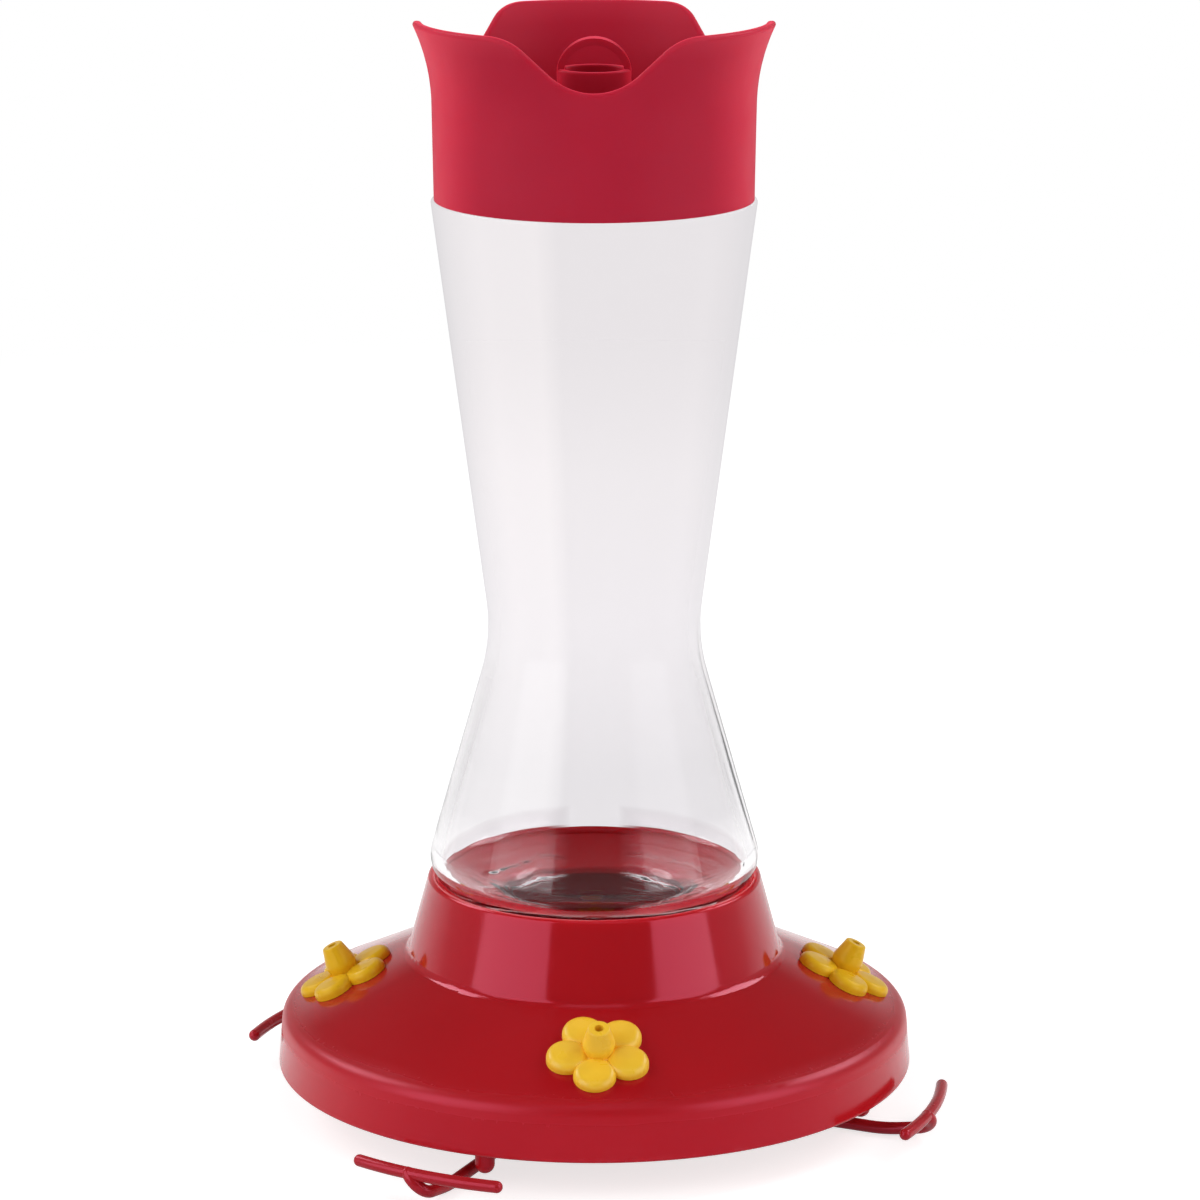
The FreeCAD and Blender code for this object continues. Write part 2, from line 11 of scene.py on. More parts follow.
import bpy
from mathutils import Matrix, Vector


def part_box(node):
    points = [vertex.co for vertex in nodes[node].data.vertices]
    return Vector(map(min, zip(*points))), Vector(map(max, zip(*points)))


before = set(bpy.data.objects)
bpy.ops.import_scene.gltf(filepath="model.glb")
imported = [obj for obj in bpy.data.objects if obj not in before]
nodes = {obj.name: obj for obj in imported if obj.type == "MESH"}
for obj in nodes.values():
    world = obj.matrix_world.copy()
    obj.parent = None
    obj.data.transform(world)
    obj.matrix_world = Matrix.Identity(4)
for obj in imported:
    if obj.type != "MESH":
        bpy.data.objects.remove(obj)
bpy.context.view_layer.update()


print("Pieces:", ", ".join(sorted(nodes)))

# %% [markdown]
# Most pieces are round and come out of polished moulds, so they must look smooth between the
# facets of the mesh. More facets would do it too, but shading by angle leaves every point where
# it is: the true creases stay sharp, and the rest is shaded as round.

# %% Smooth the facets
CREASE_ANGLE = math.radians(32)

for node in nodes.values():
    for face in node.data.polygons:
        face.use_smooth = True
    node.data.set_sharp_from_angle(angle=CREASE_ANGLE)
print("Smoothed", len(nodes), "pieces, creases over", round(math.degrees(CREASE_ANGLE)), "degrees")

# %% [markdown]
# Every finish below is a small network of nodes. It could be wired by hand in the editor, but in
# code it is easier to read and to change. Three helpers carry all of it: one starts an empty
# finish, one adds a node and sets its inputs, and one joins an output to an input.

# %% Start a finish, add nodes and join them


def new_finish(name):
    finish = bpy.data.materials.new(name)
    finish.use_nodes = True
    finish.node_tree.nodes.clear()
    return finish


def add(finish, kind, settings=None, **inputs):
    """A new node. Settings are its own choices; inputs are named with _ for a space."""
    node = finish.node_tree.nodes.new(kind)
    for key, value in (settings or {}).items():
        setattr(node, key, value)
    for key, value in inputs.items():
        node.inputs[key.replace("_", " ")].default_value = value
    return node


def join(finish, output, target):
    finish.node_tree.links.new(output, target)


print("Ready to wire finishes")

# %% [markdown]
# Moulded and blown surfaces are never quite even, and most of the detail here is noise at its true
# size. An image would have to be wrapped round each piece and would stretch, and noise in space
# doesn't. Places are read in metres in the model's own frame, so a grain of half a millimetre
# stays that size on every piece. A ramp then picks the part of the noise that counts.

# %% Read places and make uneven patches
WHOLE = (0.0, 1.0)
EVEN = (1.0, 1.0, 1.0)
MIDDLE_SHARE = (0.3, 0.7)
FLOW_SHARE = (0.35, 0.65)
GRAIN_ROUGHNESS = 0.55


def place(finish):
    return add(finish, "ShaderNodeTexCoord").outputs["Object"]


def split_place(finish):
    split = add(finish, "ShaderNodeSeparateXYZ")
    join(finish, place(finish), split.inputs["Vector"])
    return split.outputs


def height_of(finish):
    return split_place(finish)["Z"]


def grain(finish, size, detail=2.0, stretch=EVEN):
    """Noise whose grains are about `size` metres across, from 0 to 1."""
    mapping = add(finish, "ShaderNodeMapping", Scale=stretch)
    join(finish, place(finish), mapping.inputs["Vector"])
    noise = add(finish, "ShaderNodeTexNoise", Scale=1.0 / size, Detail=detail, Roughness=GRAIN_ROUGHNESS)
    join(finish, mapping.outputs["Vector"], noise.inputs["Vector"])
    return noise.outputs["Fac"]


def ramp(finish, value, span, levels=WHOLE):
    """Carry a value from the ends of `span` to the ends of `levels`, held at both."""
    node = add(
        finish, "ShaderNodeMapRange", {"clamp": True},
        From_Min=span[0], From_Max=span[1], To_Min=levels[0], To_Max=levels[1],
    )
    join(finish, value, node.inputs["Value"])
    return node.outputs["Result"]


def patches(finish, size, share, levels=WHOLE, detail=2.0, stretch=EVEN):
    return ramp(finish, grain(finish, size, detail, stretch), share, levels)


print("Ready to make patches, with places in metres")

# %% [markdown]
# Colours and numbers from several sources have to come together: one colour over another by a
# share, or numbers by a sum or a product. Relief finer than a facet is bump: it tilts the light
# but moves no point, so the piece keeps its size.

# %% Blend colours, combine numbers, raise a fine relief
# The mixing node has sockets for numbers, vectors and colours; these places are the colour ones.
SHARE_IN = 0
COLOURS_IN = (6, 7)
COLOUR_OUT = 2


def blend_colours(finish, share, first, second):
    """The first colour where the share is 0, the second where it is 1."""
    node = add(finish, "ShaderNodeMix", {"data_type": "RGBA"})
    for number, colour in zip(COLOURS_IN, (first, second)):
        if isinstance(colour, tuple):
            node.inputs[number].default_value = (*colour, 1.0)
        else:
            join(finish, colour, node.inputs[number])
    join(finish, share, node.inputs[SHARE_IN])
    return node.outputs[COLOUR_OUT]


def combine(finish, operation, *values):
    node = add(finish, "ShaderNodeMath", {"operation": operation})
    for socket, value in zip(node.inputs, values):
        if isinstance(value, (int, float)):
            socket.default_value = value
        else:
            join(finish, value, socket)
    return node.outputs["Value"]


def relief(finish, height, depth, before=None):
    """Bump whose hills stand `depth` metres above its valleys."""
    bump = add(finish, "ShaderNodeBump", Strength=1.0, Distance=depth)
    join(finish, height, bump.inputs["Height"])
    if before is not None:
        join(finish, before, bump.inputs["Normal"])
    return bump.outputs["Normal"]


print("Ready to blend and combine")

# %% [markdown]
# A finish ends in a surface. One shader serves plastic and glass alike: it takes a colour, a
# roughness and a relief from the network, and fixed numbers for the rest. A surface may also be a
# mix of two. The last mix lets lamps shine through: a ray that looks for a lamp meets only a tint.

# %% Close a finish


def shader_with(finish, colour, roughness, normal, **constants):
    shader = add(finish, "ShaderNodeBsdfPrincipled", **constants)
    join(finish, colour, shader.inputs["Base Color"])
    join(finish, roughness, shader.inputs["Roughness"])
    join(finish, normal, shader.inputs["Normal"])
    return shader


def mix_shaders(finish, share, first, second):
    node = add(finish, "ShaderNodeMixShader")
    for socket, output in zip(node.inputs, (share, first, second)):
        join(finish, output, socket)
    return node.outputs["Shader"]


def let_lamps_through(finish, surface, tint):
    clear = add(finish, "ShaderNodeBsdfTransparent", Color=tint)
    towards_lamp = add(finish, "ShaderNodeLightPath").outputs["Is Shadow Ray"]
    return mix_shaders(finish, towards_lamp, surface, clear.outputs["BSDF"])


def close_finish(finish, surface):
    output = add(finish, "ShaderNodeOutputMaterial")
    join(finish, surface, output.inputs["Surface"])
    print("Finish ready:", finish.name, "with", len(finish.node_tree.nodes), "nodes")
    return finish


print("Ready to close finishes")

# %% [markdown]
# The base is moulded in red plastic. A scuffed lower edge is where the skirt meets the table when
# the feeder is washed. One flat red would look like paint, so the colour drifts a little where
# the plastic flowed. The skirt is painted a shade brighter than the deck: painted light, for the
# light that falls on the skirt.

# %% Red of the base
# Colours are linear red, green and blue; heights and sizes are in metres.
BASE_RED = (0.475, 0.0095, 0.0140)
BASE_RED_DEEP = (0.448, 0.0082, 0.0120)
BASE_FLOW_SIZE = 0.035
# Painted light: the skirt gets a brighter red than the deck, for the light that falls on it.
SKIRT_RED_PAINTED_LIGHT = (0.560, 0.0110, 0.0170)
SKIRT_START = 0.0158
SKIRT_BLEND = 0.001
SCUFF_RED = (0.600, 0.050, 0.062)
SCUFF_TINT = 0.5
SCUFF_FADE = 0.0012
SCUFF_SIZE = 0.0022
SCUFF_SHARE = (0.50, 0.70)


def scuffed_edge(finish, scuff_top):
    """1 where the lowest edge is scuffed, 0 elsewhere."""
    low_edge = ramp(finish, height_of(finish), (scuff_top, scuff_top - SCUFF_FADE))
    worn = patches(finish, SCUFF_SIZE, SCUFF_SHARE, detail=4.0)
    return combine(finish, "MULTIPLY", low_edge, worn)


def base_colour(finish, scuff):
    flow = patches(finish, BASE_FLOW_SIZE, FLOW_SHARE, detail=1.0)
    colour = blend_colours(finish, flow, BASE_RED, BASE_RED_DEEP)
    # Painted light: below the rim the skirt takes the brighter red.
    skirt = ramp(finish, height_of(finish), (SKIRT_START + SKIRT_BLEND, SKIRT_START - SKIRT_BLEND))
    colour = blend_colours(finish, skirt, colour, SKIRT_RED_PAINTED_LIGHT)
    return blend_colours(finish, combine(finish, "MULTIPLY", scuff, SCUFF_TINT), colour, SCUFF_RED)


# %% [markdown]
# The tool was polished, so the base shines and its reflections have clear edges. Still it is not a
# mirror: the skin has a very faint orange peel, handling leaves hair-fine upright scratches that
# only change the roughness, and fingers dull the rounded rim above the skirt.

# %% Polish of the base
CLOUD_SIZE = 0.012
BASE_ROUGHNESS = (0.09, 0.14)
SCRATCH_SIZE = 0.0009
SCRATCH_STRETCH = (1.0, 1.0, 0.06)
SCRATCH_SHARE = (0.60, 0.78)
SCRATCH_ROUGHNESS = (0.0, 0.10)
SCUFF_ROUGHNESS = 0.25
RIM_REACH = 0.0030
RIM_CORE = 0.0015
RIM_ROUGHNESS = (0.0, 0.22)
PEEL_SIZE = 0.0040
PEEL_DEPTH = 0.000010
SKIN_SIZE = 0.0006
SKIN_DEPTH = 0.0000015


def base_roughness(finish, scuff):
    cloud = patches(finish, CLOUD_SIZE, MIDDLE_SHARE, BASE_ROUGHNESS)
    scratches = patches(finish, SCRATCH_SIZE, SCRATCH_SHARE, SCRATCH_ROUGHNESS, stretch=SCRATCH_STRETCH)
    skin = combine(finish, "ADD", cloud, scratches)
    skin = combine(finish, "ADD", skin, combine(finish, "MULTIPLY", scuff, SCUFF_ROUGHNESS))
    from_below = ramp(finish, height_of(finish), (SKIRT_START - RIM_REACH, SKIRT_START - RIM_CORE))
    from_above = ramp(
        finish, height_of(finish), (SKIRT_START + RIM_REACH, SKIRT_START + RIM_CORE), RIM_ROUGHNESS
    )
    return combine(finish, "ADD", skin, combine(finish, "MULTIPLY", from_below, from_above))


def base_relief(finish):
    peel = relief(finish, grain(finish, PEEL_SIZE, 0.0), PEEL_DEPTH)
    return relief(finish, grain(finish, SKIN_SIZE, 3.0), SKIN_DEPTH, peel)


print("Roughness of the clean skin runs from", BASE_ROUGHNESS[0], "to", BASE_ROUGHNESS[1])

# %% [markdown]
# Two things make this red look like plastic and not like paint. Its gloss is rose, not white,
# because light also comes back from just under the skin. And it glows a little: red light
# travels some millimetres inside the wall before it comes out again. The thin cover even lets
# some red light through to the pan below it, and the pan itself stops the light.

# %% Glossy red plastic of the base
PLASTIC_IOR = 1.49
ROSE_GLOSS = (1.0, 0.24, 0.40, 1.0)
SHINE = {"IOR": PLASTIC_IOR, "Specular_IOR_Level": 0.9, "Specular_Tint": ROSE_GLOSS}
GLOW = {
    "Subsurface_Weight": 0.35,
    "Subsurface_Radius": (1.0, 0.06, 0.10),
    "Subsurface_Scale": 0.004,
}
COVER_SCUFF_TOP = 0.0084
TRAY_SCUFF_TOP = 0.0034
THROUGH_COVER = (0.45, 0.02, 0.04, 1.0)


def red_base_finish(name, scuff_top, lamps_pass=None):
    finish = new_finish(name)
    scuff = scuffed_edge(finish, scuff_top)
    colour = base_colour(finish, scuff)
    roughness = base_roughness(finish, scuff)
    shader = shader_with(finish, colour, roughness, base_relief(finish), **SHINE, **GLOW)
    surface = shader.outputs["BSDF"]
    if lamps_pass is not None:
        surface = let_lamps_through(finish, surface, lamps_pass)
    return close_finish(finish, surface)


cover_finish = red_base_finish("glossy red base", COVER_SCUFF_TOP, THROUGH_COVER)
tray_finish = red_base_finish("glossy red tray", TRAY_SCUFF_TOP)

# %% [markdown]
# The cap is red plastic too, out of a tool with a fine spark texture, which scatters the
# light: a satin skin with soft, wide highlights. A red sheen in the shader, and a brighter red
# painted into the colour where the surface turns edge on, stand for that scattering: the painted
# red is a painted sheen. The thin rim lets a little light through, so the tips of the petals are
# painted paler and pinker than the collar: a painted glow.

# %% Satin red plastic of the cap
CAP_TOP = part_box("cap")[1][2]
CAP_RED = (0.500, 0.0200, 0.0480)
CAP_RED_DEEP = (0.475, 0.0170, 0.0430)
# Painted glow: the petal tips are painted paler and pinker, for light that shines through the rim.
CAP_RIM_PAINTED_GLOW = (0.600, 0.0400, 0.0750)
CAP_RIM_HEIGHT = 0.0040
CAP_RIM_TINT = (0.0, 0.6)
# Painted sheen: a brighter red painted where the surface turns edge on.
CAP_EDGE_PAINTED_SHEEN = (0.860, 0.0260, 0.0660)
CAP_EDGE_BLEND = 0.4
EDGE_SHARE = (0.25, 0.90)
CAP_FLOW_SIZE = 0.020
CAP_CLOUD_SIZE = 0.006
CAP_ROUGHNESS = (0.34, 0.42)
SPARK_SIZE = 0.00045
SPARK_DEPTH = 0.000006
CAP_SATIN = {
    "Specular_IOR_Level": 0.12,
    "Specular_Tint": (1.0, 0.45, 0.60, 1.0),
    "Sheen_Weight": 1.0,
    "Sheen_Roughness": 0.5,
    "Sheen_Tint": (1.0, 0.07, 0.14, 1.0),
}


def facing_away(finish, blend):
    """0 where the surface faces the ray and 1 where it is edge on."""
    return add(finish, "ShaderNodeLayerWeight", Blend=blend).outputs["Facing"]


def satin_cap_finish(name):
    finish = new_finish(name)
    flow = patches(finish, CAP_FLOW_SIZE, FLOW_SHARE, detail=1.0)
    colour = blend_colours(finish, flow, CAP_RED, CAP_RED_DEEP)
    # Painted glow: paler pink towards the top of the rim.
    painted_rim_glow = ramp(finish, height_of(finish), (CAP_TOP - CAP_RIM_HEIGHT, CAP_TOP), CAP_RIM_TINT)
    colour = blend_colours(finish, painted_rim_glow, colour, CAP_RIM_PAINTED_GLOW)
    # Painted sheen: brighter red where the surface turns edge on.
    edge_on = ramp(finish, facing_away(finish, CAP_EDGE_BLEND), EDGE_SHARE)
    colour = blend_colours(finish, edge_on, colour, CAP_EDGE_PAINTED_SHEEN)
    roughness = patches(finish, CAP_CLOUD_SIZE, MIDDLE_SHARE, CAP_ROUGHNESS)
    normal = relief(finish, grain(finish, SPARK_SIZE, 3.0), SPARK_DEPTH)
    shader = shader_with(finish, colour, roughness, normal, IOR=PLASTIC_IOR, **CAP_SATIN, **GLOW)
    return close_finish(finish, shader.outputs["BSDF"])


cap_finish = satin_cap_finish("satin red cap")

# %% [markdown]
# The flowers are moulded in yellow and pushed into the deck. Small mouldings cool fast and shine
# less than the deck. Nectar that drips from the feed holes leaves amber clouds on the petals. The
# side flowers face the lamps more than the front one does, so they are painted a deeper yellow
# and don't wash out: painted shade, a shaded copy of the same yellow plastic.

# %% Yellow flower plastic
FLOWER_YELLOW = (0.990, 0.610, 0.0360)
FLOWER_AMBER = (0.930, 0.510, 0.0200)
# Painted shade: the side flowers get a darker yellow and amber than the front one, as they face the
# lamps more.
SIDE_YELLOW_PAINTED_SHADE = (0.850, 0.500, 0.0120)
SIDE_AMBER_PAINTED_SHADE = (0.740, 0.400, 0.0100)
SIDE_GLOSS = (1.0, 0.80, 0.35, 1.0)
AMBER_SIZE = 0.0045
AMBER_SHARE = (0.35, 0.72)
AMBER_TINT = (0.0, 0.5)
FLOWER_CLOUD_SIZE = 0.0030
FLOWER_ROUGHNESS = (0.26, 0.38)
FLOWER_SKIN_SIZE = 0.0005
FLOWER_SKIN_DEPTH = 0.000005


def yellow_finish(name, fresh, amber, **constants):
    finish = new_finish(name)
    cloud = patches(finish, AMBER_SIZE, AMBER_SHARE, AMBER_TINT)
    colour = blend_colours(finish, cloud, fresh, amber)
    roughness = patches(finish, FLOWER_CLOUD_SIZE, MIDDLE_SHARE, FLOWER_ROUGHNESS)
    normal = relief(finish, grain(finish, FLOWER_SKIN_SIZE), FLOWER_SKIN_DEPTH)
    shader = shader_with(finish, colour, roughness, normal, IOR=PLASTIC_IOR, **constants)
    return close_finish(finish, shader.outputs["BSDF"])


flower_finish = yellow_finish("yellow flower", FLOWER_YELLOW, FLOWER_AMBER)
# The side flowers wear a darker copy of the yellow: painted shade.
shaded_side_flower_finish = yellow_finish(
    "yellow flower painted in shade", SIDE_YELLOW_PAINTED_SHADE, SIDE_AMBER_PAINTED_SHADE, Specular_Tint=SIDE_GLOSS
)

# %% [markdown]
# The perches are thin red bars. They come from the same polished family of tools as the base, but
# claws and fingers dull them in patches, and here and there the red is worn a little paler.

# %% Red perch plastic
PERCH_RED = (0.450, 0.0100, 0.0140)
PERCH_RED_WORN = (0.460, 0.0160, 0.0220)
PERCH_WEAR_SIZE = 0.0060
PERCH_WEAR_SHARE = (0.40, 0.75)
PERCH_CLOUD_SIZE = 0.0050
PERCH_CLOUD_SHARE = (0.35, 0.75)
PERCH_ROUGHNESS = (0.16, 0.30)
PERCH_SKIN_SIZE = 0.0007
PERCH_SKIN_DEPTH = 0.000002


def red_perch_finish(name):
    finish = new_finish(name)
    worn = patches(finish, PERCH_WEAR_SIZE, PERCH_WEAR_SHARE)
    colour = blend_colours(finish, worn, PERCH_RED, PERCH_RED_WORN)
    roughness = patches(finish, PERCH_CLOUD_SIZE, PERCH_CLOUD_SHARE, PERCH_ROUGHNESS, detail=3.0)
    normal = relief(finish, grain(finish, PERCH_SKIN_SIZE), PERCH_SKIN_DEPTH)
    shader = shader_with(finish, colour, roughness, normal, **SHINE)
    return close_finish(finish, shader.outputs["BSDF"])


perch_finish = red_perch_finish("red perch")

# %% [markdown]
# The bottle is pressed and blown glass. Clear glass has hardly any colour of its own: we see the
# white room through it, a little greyer. Long bands of paler and greyer glass are painted from the
# cap down to the foot: painted reflections of the two soft boxes, and of the dim stripe between
# them. They are laid by the angle round the bottle, so they turn with it and don't slide when the
# camera moves.

# %% Painted reflection bands on the glass
BOTTLE_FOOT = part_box("glass_bottle")[0][2]
# Painted reflection: the pale bands stand for the two soft boxes reflected in the glass.
REFLECTION_BAND_COUNT = 2.0
REFLECTION_BAND_SHIFT = math.radians(213)
REFLECTION_BAND_SOFTNESS = 0.15


def painted_reflection_bands(finish):
    """1 in the pale bands of painted reflection and 0 in the grey bands between them."""
    across = split_place(finish)
    towards_front = combine(finish, "MULTIPLY", across["Y"], -1.0)
    angle = combine(finish, "ARCTAN2", across["X"], towards_front)
    angle = combine(finish, "MULTIPLY", angle, REFLECTION_BAND_COUNT)
    wave = combine(finish, "SINE", combine(finish, "ADD", angle, REFLECTION_BAND_SHIFT))
    return ramp(finish, wave, (-REFLECTION_BAND_SOFTNESS, REFLECTION_BAND_SOFTNESS))


print("The wall has", round(REFLECTION_BAND_COUNT), "pale staves")

# %% [markdown]
# The lower cone, the shoulder and the neck are solid glass, which bends rays and so gives the thin
# dark lines at the sides. The grey could be worked out inside the glass, but a tint on its faces
# is quicker and has less grain. The cone takes the painted reflection bands, and the neck is
# nearly clear.

# %% Tint of the solid glass
GLASS_TINT = (0.938, 0.920, 0.930)
GLASS_TINT_DEEP = (0.922, 0.902, 0.916)
GLASS_DRIFT_SIZE = 0.030
# Painted reflection: the paler tint is the soft boxes' reflection painted on, the greyer one the stripe
# between them.
GLASS_TINT_BODY_WITH_PAINTED_REFLECTION = (0.735, 0.715, 0.730)
GLASS_TINT_BODY_BETWEEN_REFLECTIONS = (0.665, 0.645, 0.664)
GLASS_TINT_EDGE = (0.800, 0.785, 0.795)


def solid_colour(finish, bands, in_cone, edge_on):
    drift = patches(finish, GLASS_DRIFT_SIZE, MIDDLE_SHARE, detail=1.0)
    neck_colour = blend_colours(finish, drift, GLASS_TINT, GLASS_TINT_DEEP)
    cone_colour = blend_colours(finish, bands, GLASS_TINT_BODY_BETWEEN_REFLECTIONS, GLASS_TINT_BODY_WITH_PAINTED_REFLECTION)
    colour = blend_colours(finish, in_cone, neck_colour, cone_colour)
    return blend_colours(finish, edge_on, colour, GLASS_TINT_EDGE)


print("Tint of the lower cone:", GLASS_TINT_BODY_WITH_PAINTED_REFLECTION, "and in its grey staves", GLASS_TINT_BODY_BETWEEN_REFLECTIONS)

# %% [markdown]
# Blown walls are never quite even, so slow waves run over them. Round the shoulder the glass
# ripples where the mould closed on the neck, and fine ring marks sit on the neck. All three are
# bump on the smooth solid, each on top of the one before.

# %% Waves, ripples and ring marks
WAVE_SIZE = 0.016
WAVE_STRETCH = (1.0, 1.0, 0.45)
WAVE_DEPTH = 0.00022
RIPPLE_LOW = BOTTLE_FOOT + 0.020
RIPPLE_HIGH = BOTTLE_FOOT + 0.034
RIPPLE_SIZE = 0.0070
RIPPLE_STRETCH = (0.35, 0.35, 1.6)
RIPPLE_DEPTH = 0.0003
RINGS_LOW = BOTTLE_FOOT + 0.0235
RINGS_HIGH = BOTTLE_FOOT + 0.0255
RINGS_DEPTH = 0.00025
RINGS = {"Scale": 190.0, "Distortion": 5.0, "Detail": 2.0, "Detail_Scale": 0.45}


def blown_relief(finish):
    waves = relief(finish, grain(finish, WAVE_SIZE, 1.0, WAVE_STRETCH), WAVE_DEPTH)
    near_neck = ramp(finish, height_of(finish), (RIPPLE_HIGH, RIPPLE_LOW))
    ripple = combine(finish, "MULTIPLY", near_neck, grain(finish, RIPPLE_SIZE, 2.0, RIPPLE_STRETCH))
    rippled = relief(finish, ripple, RIPPLE_DEPTH, waves)
    rings = add(finish, "ShaderNodeTexWave", {"bands_direction": "Z"}, **RINGS)
    join(finish, place(finish), rings.inputs["Vector"])
    on_neck = ramp(finish, height_of(finish), (RINGS_HIGH, RINGS_LOW))
    ring_marks = combine(finish, "MULTIPLY", on_neck, rings.outputs["Fac"])
    return relief(finish, ring_marks, RINGS_DEPTH, rippled)


# %% [markdown]
# The upper cone shows no dark lines at its sides, as if its wall were very thin. Solid glass would
# draw them, so there the finish changes to a pane: light goes straight on, takes a grey tint
# once, at the first face, and shows a faint gloss that grows where the wall turns edge on.

# %% A thin pane for the upper cone
THIN_LOW = BOTTLE_FOOT + 0.052
THIN_HIGH = BOTTLE_FOOT + 0.078
WAIST_FADE = BOTTLE_FOOT + 0.104
# In the pane too, the paler tints are painted reflections of the soft boxes and the greyer ones lie
# between them.
PANE_TINT_WITH_PAINTED_REFLECTION = (0.875, 0.838, 0.852)
PANE_TINT_BETWEEN_REFLECTIONS = (0.815, 0.782, 0.800)
WAIST_TINT_WITH_PAINTED_REFLECTION = (0.815, 0.782, 0.800)
WAIST_TINT_BETWEEN_REFLECTIONS = (0.765, 0.735, 0.757)
PANE_TINT_EDGE = (0.700, 0.680, 0.700)
CLEAR = (1.0, 1.0, 1.0)
PANE_GLOSS_ROUGHNESS = 0.06
PANE_GLOSS_FACING = (0.40, 1.0)
PANE_GLOSS_SHARE = (0.015, 0.12)


def pane_colour(finish, bands, edge_on, first_face):
    cone_colour = blend_colours(finish, bands, PANE_TINT_BETWEEN_REFLECTIONS, PANE_TINT_WITH_PAINTED_REFLECTION)
    waist_colour = blend_colours(finish, bands, WAIST_TINT_BETWEEN_REFLECTIONS, WAIST_TINT_WITH_PAINTED_REFLECTION)
    at_waist = ramp(finish, height_of(finish), (WAIST_FADE, THIN_HIGH))
    colour = blend_colours(finish, at_waist, cone_colour, waist_colour)
    colour = blend_colours(finish, edge_on, colour, PANE_TINT_EDGE)
    return blend_colours(finish, first_face, CLEAR, colour)


def thin_pane(finish, colour, normal, facing, first_face):
    pane = add(finish, "ShaderNodeBsdfTransparent")
    join(finish, colour, pane.inputs["Color"])
    gloss = add(finish, "ShaderNodeBsdfAnisotropic", Color=(*CLEAR, 1.0), Roughness=PANE_GLOSS_ROUGHNESS)
    join(finish, normal, gloss.inputs["Normal"])
    gloss_share = ramp(finish, facing, PANE_GLOSS_FACING, PANE_GLOSS_SHARE)
    gloss_share = combine(finish, "MULTIPLY", gloss_share, first_face)
    return mix_shaders(finish, gloss_share, pane.outputs["BSDF"], gloss.outputs["BSDF"])


# %% [markdown]
# A mix by height alone leaves smudges at the waist, because a ray would bend on its way in and go
# straight on its way out. So a ray keeps to the kind of glass that it met first, and the count of
# faces that it has crossed tells which. The far wall, seen from inside, is a pane too, except at
# the sides of the foot, where the red base should look bent.

# %% Which kind of glass a ray meets
FOOT_TOP = BOTTLE_FOOT + 0.0295
FOOT_FADE = 0.003
CLEAR_MIDDLE = 0.0045
FACES_OF_ONE_WALL = 2.0


def kind_of_glass(finish):
    """Two shares: how far this face is a pane, and whether a pane here takes its tint and gloss."""
    path = add(finish, "ShaderNodeLightPath").outputs
    straight = combine(finish, "MINIMUM", path["Transparent Depth"], 1.0)
    inside_bottle = combine(finish, "COMPARE", path["Transmission Depth"], FACES_OF_ONE_WALL)
    off_centre = combine(finish, "ABSOLUTE", split_place(finish)["X"])
    middle = ramp(finish, off_centre, (CLEAR_MIDDLE, 2 * CLEAR_MIDDLE), (1.0, 0.0))
    above_foot = ramp(finish, height_of(finish), (FOOT_TOP, FOOT_TOP + FOOT_FADE))
    clear_back = combine(finish, "MAXIMUM", middle, above_foot)
    far_wall = combine(finish, "MULTIPLY", inside_bottle, clear_back)
    passed = combine(finish, "MAXIMUM", straight, far_wall)
    bent = combine(finish, "MINIMUM", path["Transmission Depth"], 1.0)
    unbent = combine(finish, "SUBTRACT", 1.0, bent)
    upper = ramp(finish, height_of(finish), (THIN_LOW, THIN_HIGH))
    is_pane = combine(finish, "MAXIMUM", passed, combine(finish, "MULTIPLY", upper, unbent))
    return is_pane, combine(finish, "SUBTRACT", 1.0, passed)


# %% [markdown]
# Now the parts come together: tint, relief and a trace of roughness on the solid glass, the pane
# beside it, and the share between them. The gloss of the cones is held back, since the lamps would
# draw hard panels on them, and in the picture only soft ones show. Lamps shine through the glass:
# for the rays that look for a lamp it is almost clear.

# %% Clear glass of the bottle
GLASS_IOR = 1.5
CONE_START = BOTTLE_FOOT + 0.033
CONE_FULL = BOTTLE_FOOT + 0.042
GLASS_EDGE_BLEND = 0.35
GLASS_CLOUD_SIZE = 0.010
GLASS_ROUGHNESS = (0.0, 0.015)
GLASS_GLOSS = (0.64, 0.62, 0.64)
GLASS_GLOSS_BODY = (0.15, 0.15, 0.15)
THROUGH_GLASS = (0.93, 0.93, 0.93, 1.0)


def bottle_glass_finish(name):
    finish = new_finish(name)
    # The bands are painted reflections of the two soft boxes, laid on the glass tint.
    bands = painted_reflection_bands(finish)
    in_cone = ramp(finish, height_of(finish), (CONE_START, CONE_FULL))
    facing = facing_away(finish, GLASS_EDGE_BLEND)
    edge_on = ramp(finish, facing, EDGE_SHARE)
    roughness = patches(finish, GLASS_CLOUD_SIZE, MIDDLE_SHARE, GLASS_ROUGHNESS)
    normal = blown_relief(finish)
    colour = solid_colour(finish, bands, in_cone, edge_on)
    solid = shader_with(finish, colour, roughness, normal, IOR=GLASS_IOR, Transmission_Weight=1.0)
    gloss = blend_colours(finish, in_cone, GLASS_GLOSS, GLASS_GLOSS_BODY)
    join(finish, gloss, solid.inputs["Specular Tint"])
    is_pane, first_face = kind_of_glass(finish)
    tint = pane_colour(finish, bands, edge_on, first_face)
    pane = thin_pane(finish, tint, normal, facing, first_face)
    surface = mix_shaders(finish, is_pane, solid.outputs["BSDF"], pane)
    return close_finish(finish, let_lamps_through(finish, surface, THROUGH_GLASS))


glass_finish = bottle_glass_finish("clear bottle glass")

# %% [markdown]
# Each solid keeps its own mesh and only gets its finish. A material slot that already exists is
# filled, so the piece keeps its link to the record of finishes.

